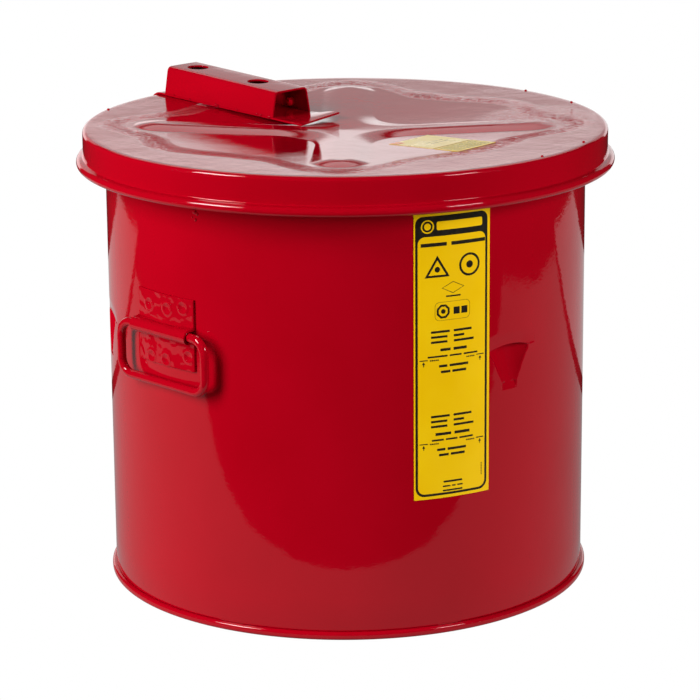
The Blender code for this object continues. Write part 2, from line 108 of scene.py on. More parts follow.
STRAP_THICK = 0.0015
STRAP_BEND = 0.0103
STRAP_HALF = 0.0192
STRAP_CORNER_LIFT = 0.0040
STRAP_INNER_Y = 0.026
STRAP_OUTER_Y = 0.185
STRAP_INNER_Z = LID_TOP - 0.0032
STRAP_OUTER_Z = LID_TOP + GAP
PIN_R = 0.0025
KNUCKLE_BORE = PIN_R + GAP
HINGE_Y = STRAP_OUTER_Y + STRAP_BEND - KNUCKLE_BORE
HINGE_Z = 0.298

HOUSING_INNER_Y = 0.0575
HOUSING_OUTER_Y = 0.179
HOUSING_INNER_HEIGHT = 0.0187
HOUSING_OUTER_HEIGHT = 0.0204
HOUSING_TOP_HALF = 0.0163
HOUSING_CORNER = 0.004
HOUSING_HOLE_R = 0.008
HOUSING_HOLES_Y = (0.162, 0.094)

LABEL_CENTRE = radians(-18.8)
LABEL_WIDTH = 0.058
LABEL_LOW = 0.0995
LABEL_HIGH = 0.302
FILM = 0.00022
INK = 0.00005
LID_LABEL_CENTRE = (0.0077, -0.0914)
LID_LABEL_ANGLE = radians(4.8)
LID_LABEL_HALF = (0.021, 0.0315)

BASKET_R = 0.153
BASKET_SHEET = 0.0012
BASKET_LOW = 0.0053
BASKET_RIM_Z = 0.103
BASKET_RIM_R = 0.154
BASKET_RIM_WIRE = 0.0024
BAIL_Z = BASKET_RIM_Z + 0.007
BAIL_R = 0.145
BAIL_WIRE = 0.0022
GRIP_R = 0.007
GRIP_HALF_ANGLE = 17

# -------- camera and studio
# Places here are in the view's frame: x to the camera's right, y the way it looks, z up.
CAMERA_AZIMUTH = radians(-43.5)
CAMERA_DISTANCE = 2.1375
CAMERA_HEIGHT = 0.7445
CAMERA_PITCH = radians(15.24)
CAMERA_ROLL = radians(-0.46)
CAMERA_LENS = 154.06
CAMERA_SHIFT = 0.0044

TABLE_LEFT = -1.02
TABLE_LEAN = 0.25
TABLE_RIGHT = 1.10
TABLE_FRONT = -0.322
TABLE_BACK = 0.43
TABLE_GLOW_LEFT = 0.36
TABLE_GLOW_RIGHT = 0.27

BACKDROP_Y = 4
BACKDROP_WIDTH = 4.8


def in_view_frame(x, y, z):
    """A place given by the camera's right-hand side, the way it looks, and the height."""
    turn = Matrix.Rotation(CAMERA_AZIMUTH, 3, "Z")
    return turn @ Vector((x, y, z))


def make_camera():
    data = bpy.data.cameras.new("camera")
    data.lens = CAMERA_LENS
    data.sensor_width = 36
    data.shift_x = CAMERA_SHIFT
    camera = bpy.data.objects.new("camera", data)
    bpy.context.scene.collection.objects.link(camera)
    turn = Matrix.Rotation(CAMERA_AZIMUTH, 4, "Z") @ Matrix.Rotation(pi / 2 - CAMERA_PITCH, 4, "X")
    turn = turn @ Matrix.Rotation(CAMERA_ROLL, 4, "Z")
    camera.matrix_world = Matrix.Translation(in_view_frame(0, -CAMERA_DISTANCE, CAMERA_HEIGHT)) @ turn
    bpy.context.scene.camera = camera
    bpy.context.scene.view_settings.view_transform = "Standard"


def from_side(azimuth, elevation, distance):
    """A place seen from the tank's middle at an angle right of the camera and an angle up."""
    a, e = radians(azimuth), radians(elevation)
    return (distance * cos(e) * sin(a), -distance * cos(e) * cos(a), 0.2 + distance * sin(e))


def area_light(name, place, target, size, power, mirrored=True):
    """A soft box at one place, facing another, both in the view's frame."""
    data = bpy.data.lights.new(name, "AREA")
    data.shape = "RECTANGLE"
    data.size, data.size_y = size
    data.energy = power
    light = bpy.data.objects.new(name, data)
    bpy.context.scene.collection.objects.link(light)
    light.location = in_view_frame(*place)
    aim = in_view_frame(*target) - light.location
    light.rotation_euler = aim.to_track_quat("-Z", "Y").to_euler()
    light.visible_camera = False
    light.visible_glossy = mirrored


def make_studio():
    """A white table top in a dark room, with a bright backdrop behind and soft boxes at the sides."""
    corners = [(TABLE_LEFT + TABLE_LEAN, TABLE_FRONT), (TABLE_RIGHT, TABLE_FRONT),
               (TABLE_RIGHT, TABLE_BACK), (TABLE_LEFT, TABLE_BACK)]
    mesh = bpy.data.meshes.new("table_top")
    mesh.from_pydata([in_view_frame(x, y, -0.0002) for x, y in corners], [], [(0, 1, 2, 3)])
    table = bpy.data.objects.new("table_top", mesh)
    bpy.context.scene.collection.objects.link(table)
    mesh.materials.append(table_material())
    middle = (0, 0, 0.2)
    for name, z, height, power in (("backdrop_low", 0.48, 1.14, 23), ("backdrop_middle", 1.105, 0.11, 1.5),
                                   ("backdrop_high", 1.58, 0.84, 7.7)):
        area_light(name, (0, BACKDROP_Y, z), (0, 0, z), (BACKDROP_WIDTH, height), power)
    area_light("floor_behind", (0, 0.74, -0.001), (0, 0.80, 1), (2.3, 0.62), 2.2)
    area_light("panel_above", (0, 1.35, 1.55), (0, 0, 0.3), (1.7, 0.9), 6)
    area_light("fill_left", from_side(-66, 12, 1.7), middle, (0.6, 0.9), 25, False)
    area_light("fill_right", from_side(57, 12, 1.7), middle, (0.6, 0.9), 19, False)
    area_light("fill_front", from_side(-22, 20, 2.0), middle, (0.6, 0.5), 4.0, False)
    area_light("box_left", from_side(-60, 36, 1.9), middle, (0.55, 0.65), 20)
    area_light("box_right", from_side(51, 30, 1.9), middle, (0.42, 0.3), 6)
    make_world()


def show_apart(tree, seen, mirrored, output):
    """Show the camera one shader, and everything else another."""
    path = tree.nodes.new("ShaderNodeLightPath")
    pick = tree.nodes.new("ShaderNodeMixShader")
    out = tree.nodes.new(output)
    tree.links.new(path.outputs["Is Camera Ray"], pick.inputs[0])
    tree.links.new(mirrored.outputs[0], pick.inputs[1])
    tree.links.new(seen.outputs[0], pick.inputs[2])
    tree.links.new(pick.outputs[0], out.inputs["Surface"])


def make_world():
    """A dark room that the camera itself sees as plain white."""
    world = bpy.data.worlds.new("studio")
    bpy.context.scene.world = world
    world.use_nodes = True
    nodes = world.node_tree.nodes
    nodes.clear()
    seen = nodes.new("ShaderNodeBackground")
    seen.inputs["Color"].default_value = (1, 1, 1, 1)
    room = nodes.new("ShaderNodeBackground")
    room.inputs["Color"].default_value = (0.015, 0.015, 0.015, 1)
    show_apart(world.node_tree, seen, room, "ShaderNodeOutputWorld")


def table_material():
    """Plain white to the camera, and an even grey glow, stronger at the left, in the reflections."""
    finish = bpy.data.materials.new("table_white")
    finish.use_nodes = True
    nodes, links = finish.node_tree.nodes, finish.node_tree.links
    nodes.clear()
    place = nodes.new("ShaderNodeNewGeometry")
    across = nodes.new("ShaderNodeVectorMath")
    across.operation = "DOT_PRODUCT"
    across.inputs[1].default_value = in_view_frame(1, 0, 0)
    fall = nodes.new("ShaderNodeMapRange")
    ends = (-0.5, 0.5, TABLE_GLOW_LEFT, TABLE_GLOW_RIGHT)
    for socket, value in zip(("From Min", "From Max", "To Min", "To Max"), ends):
        fall.inputs[socket].default_value = value
    mirrored = nodes.new("ShaderNodeEmission")
    seen = nodes.new("ShaderNodeEmission")
    seen.inputs["Strength"].default_value = 1.0
    links.new(place.outputs["Position"], across.inputs[0])
    links.new(across.outputs["Value"], fall.inputs["Value"])
    links.new(fall.outputs["Result"], mirrored.inputs["Strength"])
    show_apart(finish.node_tree, seen, mirrored, "ShaderNodeOutputMaterial")
    return finish


# -------- finishes
class Shader:
    """A material's node tree, with short calls for what the finishes share."""

    def __init__(self, name):
        self.finish = bpy.data.materials.new(name)
        self.finish.use_nodes = True
        self.nodes = self.finish.node_tree.nodes
        self.links = self.finish.node_tree.links
        self.surface = self.nodes["Principled BSDF"]
        self.place = self.nodes.new("ShaderNodeTexCoord").outputs["Object"]

    def noise(self, scale, detail=2.0, rough=0.5):
        grain = self.nodes.new("ShaderNodeTexNoise")
        grain.inputs["Scale"].default_value = scale
        grain.inputs["Detail"].default_value = detail
        grain.inputs["Roughness"].default_value = rough
        self.links.new(self.place, grain.inputs["Vector"])
        return grain.outputs["Fac"]

    def ramp(self, source, stops):
        """A colour or a grey for each level of the source."""
        band = self.nodes.new("ShaderNodeValToRGB")
        while len(band.color_ramp.elements) < len(stops):
            band.color_ramp.elements.new(0.5)
        for element, (level, colour) in zip(band.color_ramp.elements, stops):
            element.position = level
            element.color = (*colour, 1) if isinstance(colour, tuple) else (colour, colour, colour, 1)
        self.links.new(source, band.inputs["Fac"])
        return band.outputs["Color"]

    def attribute(self, name):
        found = self.nodes.new("ShaderNodeAttribute")
        found.attribute_name = name
        return found.outputs["Fac"]

    def bump(self, height, strength, distance, under=None):
        relief = self.nodes.new("ShaderNodeBump")
        relief.inputs["Distance"].default_value = distance
        if isinstance(strength, float):
            relief.inputs["Strength"].default_value = strength
        else:
            self.links.new(strength, relief.inputs["Strength"])
        self.links.new(height, relief.inputs["Height"])
        if under:
            self.links.new(under, relief.inputs["Normal"])
        return relief.outputs["Normal"]

    def connect(self, socket, source):
        self.links.new(source, self.surface.inputs[socket])

    def mottle(self, socket, scale, detail, low, high):
        """Let a colour or a roughness wander between two values."""
        self.connect(socket, self.ramp(self.noise(scale, detail), [(0.3, low), (0.7, high)]))


def red_enamel(name, peel=False, lift=1.0):
    """Glossy baked enamel: deep red, a soft waviness, and coarse orange peel where the mesh says so."""
    tree = Shader(name)
    # A lift above 1 brightens the red: painted light, for a part the lamps leave in shade.
    deep, light = (0.355 * lift, 0.0, 0.0062 * lift), (0.385 * lift, 0.0, 0.0078 * lift)
    tree.mottle("Base Color", 14, 4, deep, light)
    tree.connect("Roughness", tree.ramp(tree.noise(55, 3), [(0.3, 0.035), (0.75, 0.075)]))
    tree.surface.inputs["IOR"].default_value = 1.5
    flow = tree.bump(tree.noise(60, 1), 0.05, 0.002)
    skin = tree.bump(tree.noise(420, 2), 0.035, 0.0006, flow)
    if peel:
        grain = tree.noise(300, 4, 0.75)
        skin = tree.bump(grain, tree.attribute("peel"), 0.004, skin)
    tree.connect("Normal", skin)
    return tree.finish


def zinc_plate():
    """Bright zinc: grey metal with a faint spangle and fine scratches."""
    tree = Shader("zinc_bright")
    tree.surface.inputs["Metallic"].default_value = 1.0
    cells = tree.nodes.new("ShaderNodeTexVoronoi")
    cells.inputs["Scale"].default_value = 160
    tree.links.new(tree.place, cells.inputs["Vector"])
    spangle = tree.ramp(cells.outputs["Color"], [(0.2, (0.55, 0.56, 0.57)), (0.8, (0.72, 0.72, 0.70))])
    tree.connect("Base Color", spangle)
    tree.mottle("Roughness", 240, 4, 0.22, 0.38)
    tree.connect("Normal", tree.bump(tree.noise(900, 3), 0.08, 0.0003))
    return tree.finish


def printed_film(name, low, high, roughness=0.34):
    """A vinyl film: an even colour with slight mottling, and a satin face."""
    tree = Shader(name)
    tree.mottle("Base Color", 30, 4, low, high)
    tree.mottle("Roughness", 90, 3, roughness - 0.06, roughness + 0.06)
    tree.connect("Normal", tree.bump(tree.noise(120, 2), 0.06, 0.0008))
    return tree.finish


def black_ink():
    """The labels' ink: near black, faintly mottled."""
    tree = Shader("label_ink")
    tree.mottle("Base Color", 400, 2, (0.008, 0.006, 0.004), (0.02, 0.016, 0.01))
    tree.mottle("Roughness", 120, 2, 0.38, 0.5)
    return tree.finish


def black_grip():
    """The bail's grip: dark moulded rubber with a fine grain."""
    tree = Shader("grip_rubber")
    tree.mottle("Base Color", 60, 4, (0.012, 0.012, 0.013), (0.03, 0.03, 0.03))
    tree.mottle("Roughness", 300, 3, 0.5, 0.68)
    tree.connect("Normal", tree.bump(tree.noise(1400, 2), 0.2, 0.0003))
    return tree.finish


make_camera()
make_studio()
RED = red_enamel("red_enamel_gloss")
LID_RED = red_enamel("red_enamel_lid", peel=True)
# The rivet's red is lifted 2.5 times: painted light, standing in for light that barely reaches inside the
# housing.
RIVET_PAINTED_LIGHT_RED = red_enamel("red_enamel_rivet_painted_light", lift=2.5)
ZINC = zinc_plate()
YELLOW = printed_film("film_yellow", (0.93, 0.55, 0.0), (0.96, 0.60, 0.002))
PALE = printed_film("film_pale", (0.86, 0.66, 0.22), (0.92, 0.72, 0.28), 0.3)
AMBER = printed_film("film_amber", (0.78, 0.56, 0.05), (0.84, 0.62, 0.07), 0.3)
ORANGE = printed_film("film_orange", (0.80, 0.20, 0.04), (0.85, 0.26, 0.05), 0.3)
BLACK = black_ink()
RUBBER = black_grip()


# -------- mesh helpers
def smooth(value):
    """A soft step from 0 to 1."""
    value = min(1, max(0, value))
    return value * value * (3 - 2 * value)


def arc(centre, radius, start, end, count):
    """Points on an arc, from one angle to another, in degrees."""
    angles = [radians(start + (end - start) * i / count) for i in range(count + 1)]
    return [(centre[0] + radius * cos(a), centre[1] + radius * sin(a)) for a in angles]


def span(start, end, count):
    """Evenly spaced values, both ends included."""
    return [start + (end - start) * i / count for i in range(count + 1)]


def finish_piece(name, bm, finish, body, nodes=(), sharp=35):
    """A named piece from a bmesh: smooth, riding on its body, and standing for its CAD nodes."""
    mesh = bpy.data.meshes.new(name)
    bm.to_mesh(mesh)
    bm.free()
    mesh.shade_smooth()
    mesh.set_sharp_from_angle(angle=radians(sharp))
    mesh.materials.append(finish)
    made = bpy.data.objects.new(name, mesh)
    bpy.context.scene.collection.objects.link(made)
    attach(made, body)
    if nodes:
        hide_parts(*nodes)
    return made


def enamelled(name, bm, body, nodes=(), sharp=35):
    return finish_piece(name, bm, RED, body, nodes, sharp)


def zinc_plated(name, bm, body, nodes, sharp=35):
    return finish_piece(name, bm, ZINC, body, nodes, sharp)


def closed(bm):
    """Merge what meets and turn the faces outwards."""
    bmesh.ops.remove_doubles(bm, verts=bm.verts, dist=1e-7)
    bmesh.ops.recalc_face_normals(bm, faces=bm.faces)
    return bm


def turned(profile, angles, shape=None):
    """A closed (radius, height) outline turned round Z at the given angles from the front."""
    bm = bmesh.new()
    columns = []
    for angle in angles:
        column = []
        for r, z in profile:
            if shape:
                r, z = shape(angle, r, z)
            column.append(bm.verts.new((r * sin(angle), -r * cos(angle), z)))
        columns.append(column)
    for i, here in enumerate(columns):
        before = columns[i - 1]
        for k in range(len(profile)):
            corners = (before[k - 1], here[k - 1], here[k], before[k])
            if profile[k - 1][0] or profile[k][0]:
                bm.faces.new(corners)
    return closed(bm)


def round_angles(count):
    return [2 * pi * i / count for i in range(count)]


def loft(rings, ends=True):
    """Skin a list of equal closed rings of points."""
    bm = bmesh.new()
    loops = [[bm.verts.new(point) for point in ring] for ring in rings]
    for first, second in zip(loops, loops[1:]):
        for i in range(len(first)):
            bm.faces.new((first[i - 1], first[i], second[i], second[i - 1]))
    if ends:
        bm.faces.new(loops[0])
        bm.faces.new(list(reversed(loops[-1])))
    return closed(bm)


def tube(points, radius, up, sides=20, cyclic=False):
    """A round bar along points that lie in a plane whose normal is up."""
    rings = []
    count = len(points)
    for i in range(count):
        if cyclic:
            ahead = Vector(points[(i + 1) % count]) - Vector(points[i - 1])
        else:
            ahead = Vector(points[min(i + 1, count - 1)]) - Vector(points[max(i - 1, 0)])
        across = ahead.normalized().cross(up)
        ring = []
        for k in range(sides):
            turn = 2 * pi * k / sides
            ring.append(Vector(points[i]) + across * radius * cos(turn) + up * radius * sin(turn))
        rings.append(ring)
    if cyclic:
        rings.append(rings[0])
    return loft(rings, ends=not cyclic)


def dome(radius, height, place, outward, steps=24, rows=8, rim=0.0):
    """A rivet head or a droplet: a low dome standing on its flat face."""
    rise = [(radius * cos(a), rim + height * sin(a)) for a in span(0, pi / 2, rows)]
    rise[-1] = (0, rim + height)
    bm = turned([(0, 0), (radius, 0), *rise] if rim else [(0, 0), *rise], round_angles(steps))
    turn = Vector((0, 0, 1)).rotation_difference(Vector(outward)).to_matrix()
    bmesh.ops.rotate(bm, verts=bm.verts, cent=(0, 0, 0), matrix=turn)
    bmesh.ops.translate(bm, verts=bm.verts, vec=place)
    return bm


def gathered(parts):
    """Several bmeshes as one."""
    whole = bmesh.new()
    for part in parts:
        mesh = bpy.data.meshes.new("part")
        part.to_mesh(mesh)
        part.free()
        whole.from_mesh(mesh)
        bpy.data.meshes.remove(mesh)
    return whole


def break_edges(piece, width, segments, angle):
    """Round the edges sharper than an angle in degrees."""
    edge = piece.modifiers.new("edge", "BEVEL")
    edge.width = width
    edge.segments = segments
    edge.limit_method = "ANGLE"
    edge.angle_limit = radians(angle)
    return edge


def soften(node, finish, width=0.0004):
    """Keep a CAD node, with its edges broken and a finish of its own."""
    piece = NODES[node]
    piece.data.materials.clear()
    piece.data.materials.append(finish)
    weld = piece.modifiers.new("weld", "WELD")
    weld.merge_threshold = 1e-5
    break_edges(piece, width, 3, 40).harden_normals = True


def wall_point(t, offset):
    """Distance from the tank's axis plane to the wall's outside, plus an offset, at a sideways t."""
    return sqrt((TANK_R + offset) ** 2 - t * t)


def waviness(place, scale, height):
    """The slow unevenness of drawn sheet."""
    return height * noise.noise(Vector(place) * scale)


# -------- tank
def turn_from(angle, centre):
    """The signed angle from a centre in degrees, wrapped to half a turn each way."""
    return (angle - radians(centre) + pi) % (2 * pi) - pi


def press_ledge(angle, r, z):
    """The wall, with three half-cone ledges pressed in, flat on top and coming to a foot below."""
    place = (r * sin(angle), -r * cos(angle), z)
    r += waviness(place, 28, 0.00005)
    for centre in LEDGE_ANGLES:
        t = TANK_R * turn_from(angle, centre)
        if abs(t) > 0.034 or not LEDGE_FOOT_Z - 0.006 < z < LEDGE_TOP + 0.016:
            continue
        share = min(1, abs(t) / LEDGE_HALF_WIDTH)
        near = smooth(1 - abs(z - LEDGE_TOP) / 0.016)
        bent = z - 0.0030 * share * share * near
        if z < LEDGE_TOP - 0.0001:
            rise = (z - LEDGE_NECK_Z) / (LEDGE_TOP - LEDGE_NECK_Z)
            half = LEDGE_NECK + (LEDGE_HALF_WIDTH - LEDGE_NECK) * min(1, max(0, rise) / 0.9)
            cone = max(0, 1 - (t / half) ** 2)
            press = (LEDGE_FLOOR + (LEDGE_DEPTH - LEDGE_FLOOR) * max(0, rise)) * cone ** 0.85
            if rise < 0:
                foot = smooth((LEDGE_FOOT_HALF - abs(t)) / 0.0012) * smooth((z - LEDGE_FOOT_Z) / 0.0008)
                climb = z - LEDGE_FOOT_Z + 0.0012
                press = LEDGE_FLOOR * foot * climb / (LEDGE_NECK_Z - LEDGE_FOOT_Z + 0.0012)
            r -= press
        else:
            reach = smooth(1 - (z - LEDGE_TOP) / 0.0095)
            r -= 0.0011 * reach * smooth((1.45 - abs(t) / LEDGE_HALF_WIDTH) / 0.8)
        z = bent
    return r, z


def tank_body():
    """The wall, inside and outside, with more columns and rows round the ledges."""
    angles = set(round(a, 6) for a in round_angles(300))
    for centre in LEDGE_ANGLES:
        middle = radians(centre)
        angles |= set(round((middle + a) % (2 * pi), 6) for a in span(-0.2, 0.2, 112))
    coarse = [TANK_LOW + 0.0008, 0.03, 0.06, 0.09, 0.12, 0.145]
    press = span(0.160, LEDGE_TOP - 0.0002, 72) + span(LEDGE_TOP, LEDGE_TOP + 0.018, 22)
    levels = coarse + press + [0.24, 0.26, 0.28, 0.30, TANK_TOP - 0.0008]
    inner = TANK_R - SHEET
    profile = [(TANK_R - 0.0002, TANK_TOP), (inner + 0.0002, TANK_TOP)]
    profile += [(inner, z) for z in reversed(levels)]
    profile += [(inner + 0.0002, TANK_LOW), (TANK_R - 0.0002, TANK_LOW)]
    profile += [(TANK_R, z) for z in levels]
    bm = turned(profile, sorted(angles), press_ledge)
    enamelled("tank_wall", bm, "tank", ["tank_shell"], 60)


def tank_rings():
    """The rolled seam at the foot, the recessed bottom and the rolled rim."""
    low_r = TANK_R - 0.003
    corner = 0.0024
    outer = arc((CHIME_R - corner, corner + 0.0002), corner, -90, 0, 8)
    outer += arc((CHIME_R - corner, CHIME_HEIGHT - corner), corner, 0, 78, 8)
    neck = [(TANK_R + 0.0003, CHIME_HEIGHT), (low_r, CHIME_HEIGHT)]
    inner = arc((low_r + 0.001, 0.0012), 0.001, 180, 270, 5)
    bm = turned([*outer, *neck, *inner], round_angles(288))
    enamelled("foot_seam", bm, "tank", ["bottom_chime"])
    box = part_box("tank_bottom")
    disc_r = low_r - GAP
    top, low = box[1].z, box[0].z
    ring = 0.146
    sunk = 0.0009
    upper = [(0, top - sunk), (ring - 0.006, top - sunk), (ring - 0.003, top - sunk * 0.6), (ring, top)]
    upper += [(disc_r - 0.0004, top), (disc_r, top - 0.0003)]
    lower = [(disc_r, low + 0.0003), (disc_r - 0.0004, low), (ring, low), (ring - 0.003, low - sunk * 0.6),
             (ring - 0.006, low - sunk), (0, low - sunk)]
    bm = turned([*upper, *lower], round_angles(240))
    enamelled("tank_floor", bm, "tank", ["tank_bottom"])
    centre = (TANK_R + RIM_WIRE_R + 0.0006, TANK_TOP - 0.003)
    outside = arc(centre, RIM_WIRE_R, 0, 318, 30)
    inside = arc(centre, RIM_WIRE_R - 0.0012, 318, 0, 24)
    bm = turned([*outside, *inside], round_angles(288))
    enamelled("rolled_rim", bm, "tank", ["top_rim"], 50)


# Places of the spot welds on a handle bracket: sideways from its middle, and height.
BRACKET_WELDS = ((-0.0195, 0.2300), (-0.0039, 0.2268), (0.0160, 0.2268),
                 (-0.0240, 0.1955), (-0.0016, 0.1900), (0.0143, 0.1896))
WELD_R = 0.0027
WELD_DEPTH = 0.0007


def bracket_dent(t, z):
    """How far the outer face of a bracket's flange stands from flat, at a spot weld and between."""
    depth = waviness((t, z, 0.4), 95, 0.00042) + waviness((t, z, 2.4), 210, 0.00016)
    for weld_t, weld_z in BRACKET_WELDS:
        away = hypot(t - weld_t, z - weld_z) / WELD_R
        depth -= WELD_DEPTH * smooth(1.35 - away)
        depth += 0.00035 * smooth(1 - abs(away - 1.6) / 0.6)
    return depth


def handle_bracket(side, label):
    """A strap against the wall with a half-round saddle over the handle's top bar."""
    bar = wall_point(0, GAP) + HANDLE_ROD_R
    bore = HANDLE_ROD_R + 0.0005
    rings = []
    for t in span(-BRACKET_WIDTH / 2, BRACKET_WIDTH / 2, 116):
        wall = wall_point(t, GAP)
        edge = min(1, (BRACKET_WIDTH / 2 - abs(t)) / 0.0012)
        outer = wall + THICK_SHEET
        flat = BRACKET_SADDLE + 0.0008
        inside = [(wall, z) for z in span(BRACKET_HIGH, HANDLE_Z + 0.0040, 6)]
        inside += arc((bar, HANDLE_Z), bore, 88, -88, 20)
        inside += [(wall, z) for z in span(HANDLE_Z - 0.0040, BRACKET_LOW, 6)]
        low_flange = span(BRACKET_LOW + 0.0004, HANDLE_Z - flat, 40)
        high_flange = span(HANDLE_Z + flat, BRACKET_HIGH - 0.0004, 40)
        outside = [(outer - 0.0004, BRACKET_LOW)]
        outside += [(outer + edge * bracket_dent(t, z) * smooth((HANDLE_Z - flat - z) / 0.003), z)
                    for z in low_flange]
        outside += arc((bar, HANDLE_Z), BRACKET_SADDLE, -100, 100, 34)
        outside += [(outer + edge * bracket_dent(t, z) * smooth((z - HANDLE_Z - flat) / 0.003), z)
                    for z in high_flange]
        outside += [(outer - 0.0004, BRACKET_HIGH)]
        rings.append([(side * x, t, z) for x, z in inside + outside])
    name = f"handle_bracket_{label}"
    enamelled(name + "_sheet", loft(rings), "tank", [name])


def handle_ring(side, label):
    """A rectangular ring of rod with round corners, hanging against the wall."""
    bar = wall_point(0, GAP) + HANDLE_ROD_R
    half = HANDLE_WIDTH / 2 - HANDLE_ROD_R - HANDLE_CORNER
    top = HANDLE_Z - HANDLE_CORNER
    low = HANDLE_Z - (HANDLE_HEIGHT - 2 * HANDLE_ROD_R) + HANDLE_CORNER
    outline = []
    for t, z, start in ((half, top, 0), (-half, top, 90), (-half, low, 180), (half, low, 270)):
        outline += arc((t, z), HANDLE_CORNER, start, start + 90, 14)
    points = [(side * bar, t, z) for t, z in outline]
    bm = tube(points, HANDLE_ROD_R, Vector((1, 0, 0)), 24, cyclic=True)
    enamelled(f"handle_{label}_rod", bm, f"handle_{label}", [f"handle_ring_{label}"])


def hinge_parts():
    """The hinge's bracket, its pin and the four rivets."""
    soften("hinge_bracket", RED, 0.0003)
    low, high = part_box("hinge_pin")
    reach, head = high.x, (high.z - low.z) / 2
    shank = head - 0.0015
    side = reach - 0.0018
    half = [(0, reach), *arc((head - 0.001, reach - 0.001), 0.001, 90, 0, 6), (head, side), (shank, side)]
    outline = half + [(r, -z) for r, z in reversed(half)]
    bm = turned(outline, round_angles(40))
    bmesh.ops.rotate(bm, verts=bm.verts, cent=(0, 0, 0), matrix=Matrix.Rotation(pi / 2, 3, "Y"))
    bmesh.ops.translate(bm, verts=bm.verts, vec=(0, HINGE_Y, HINGE_Z))
    zinc_plated("hinge_pin_round", bm, "tank", ["hinge_pin"])
    for column, x in (("left", -0.0255), ("right", 0.0255)):
        for row, z in (("low", 0.268), ("high", 0.288)):
            y = wall_point(x, 0.002 + 2 * GAP)
            outward = Vector((x, y, 0)).normalized()
            name = f"hinge_rivet_{column}_{row}"
            bm = dome(0.0032, 0.0014, (x, y, z), outward, 28, 8, 0.0004)
            enamelled(name + "_head", bm, "tank", [name])


# Small runs of enamel: angle from the front, height and size.
WALL_DRIPS = ((-79.9, 0.2990, 0.0013), (-79.2, 0.2978, 0.0009),
              (-79.7, 0.2935, 0.0009), (-80.6, 0.2950, 0.0006))


def wall_drips():
    """Small runs of enamel on the wall just under the lid, at the left."""
    drops = []
    for angle, z, size in WALL_DRIPS:
        a = radians(angle)
        outward = Vector((sin(a), -cos(a), 0))
        place = outward * (TANK_R - 0.0001)
        drops.append(dome(size * 1.4, size, (place.x, place.y, z), outward, 14, 5))
    enamelled("wall_drips", gathered(drops), "tank")


# -------- labels
class Print:
    """Flat ink shapes in a label's own millimetres, from its lower left corner."""

    def __init__(self):
        self.bm = bmesh.new()

    def shape(self, points):
        self.bm.faces.new([self.bm.verts.new((x, y, 0)) for x, y in points])

    def band(self, outer, inner):
        """The space between two equal loops."""
        a = [self.bm.verts.new((x, y, 0)) for x, y in outer]
        b = [self.bm.verts.new((x, y, 0)) for x, y in inner]
        for i in range(len(a)):
            self.bm.faces.new((a[i - 1], a[i], b[i], b[i - 1]))

    def ring(self, centre, outer, inner):
        self.band(arc(centre, outer, 0, 350, 35), arc(centre, inner, 0, 350, 35))

    def box(self, x0, y0, x1, y1):
        self.shape([(x0, y0), (x1, y0), (x1, y1), (x0, y1)])

    def row(self, x0, x1, y, height, words):
        """A line of plain bars, as long as the given counts, where a line of print would be."""
        pitch = (x1 - x0) / (sum(words) + 0.9 * (len(words) - 1))
        x = x0
        for count in words:
            self.box(x, y - height * 0.3, x + count * pitch, y + height * 0.3)
            x += (count + 0.9) * pitch

    def film(self, thick, finish, name, body, place, nodes=(), step=3.0):
        """Cut the shapes into strips, give them a thickness, and lay them on a surface."""
        low = min(v.co.x for v in self.bm.verts)
        high = max(v.co.x for v in self.bm.verts)
        x = low + step
        while x < high:
            everything = list(self.bm.verts) + list(self.bm.edges) + list(self.bm.faces)
            bmesh.ops.bisect_plane(self.bm, geom=everything, plane_co=(x, 0, 0), plane_no=(1, 0, 0))
            x += step
        bmesh.ops.recalc_face_normals(self.bm, faces=self.bm.faces)
        for face in self.bm.faces:
            if face.normal.z < 0:
                face.normal_flip()
        raised = bmesh.ops.extrude_face_region(self.bm, geom=list(self.bm.faces))["geom"]
        top = {v for v in raised if isinstance(v, bmesh.types.BMVert)}
        for vert in self.bm.verts:
            vert.co = place(vert.co.x, vert.co.y, thick if vert in top else 0)
        bmesh.ops.recalc_face_normals(self.bm, faces=self.bm.faces)
        return finish_piece(name, self.bm, finish, body, nodes)


def rounded(x0, y0, x1, y1, low_corner, high_corner, count=7):
    """A rectangle's outline with round corners."""
    points = arc((x1 - low_corner, y0 + low_corner), low_corner, -90, 0, count)
    points += arc((x1 - high_corner, y1 - high_corner), high_corner, 0, 90, count)
    points += arc((x0 + high_corner, y1 - high_corner), high_corner, 90, 180, count)
    points += arc((x0 + low_corner, y0 + low_corner), low_corner, 180, 270, count)
    return points


def on_wall(base):
    """Lay a label's millimetres on the tank's wall, at a distance over it."""
    def place(x, y, rise):
        angle = LABEL_CENTRE + (x / 1000 - LABEL_WIDTH / 2) / TANK_R
        r = TANK_R + base + rise
        return Vector((r * sin(angle), -r * cos(angle), LABEL_LOW + y / 1000))
    return place


# The label's single lines: left, right, distance from the top, size, and the words' lengths.
LABEL_ROWS = (
    (19.3, 39.4, 96.2, 3.2, (3, 4)),
    (10.0, 48.0, 100.7, 2.0, (8, 5, 6)),
    (18.3, 40.6, 107.7, 2.9, (3, 7)),
    (19.7, 39.0, 111.9, 2.9, (4, 6)),
    (15.7, 41.8, 156.2, 3.3, (4, 4)),
    (13.0, 44.5, 160.4, 2.1, (5, 5, 6)),
    (17.0, 39.0, 167.4, 2.9, (3, 7)),
    (18.4, 38.0, 171.3, 2.9, (4, 6)),
    (21.8, 36.0, 191.0, 2.3, (8,)),
    (21.3, 36.5, 194.3, 1.7, (4, 2, 3)),
    (21.3, 36.3, 197.4, 1.9, (13,)),
)


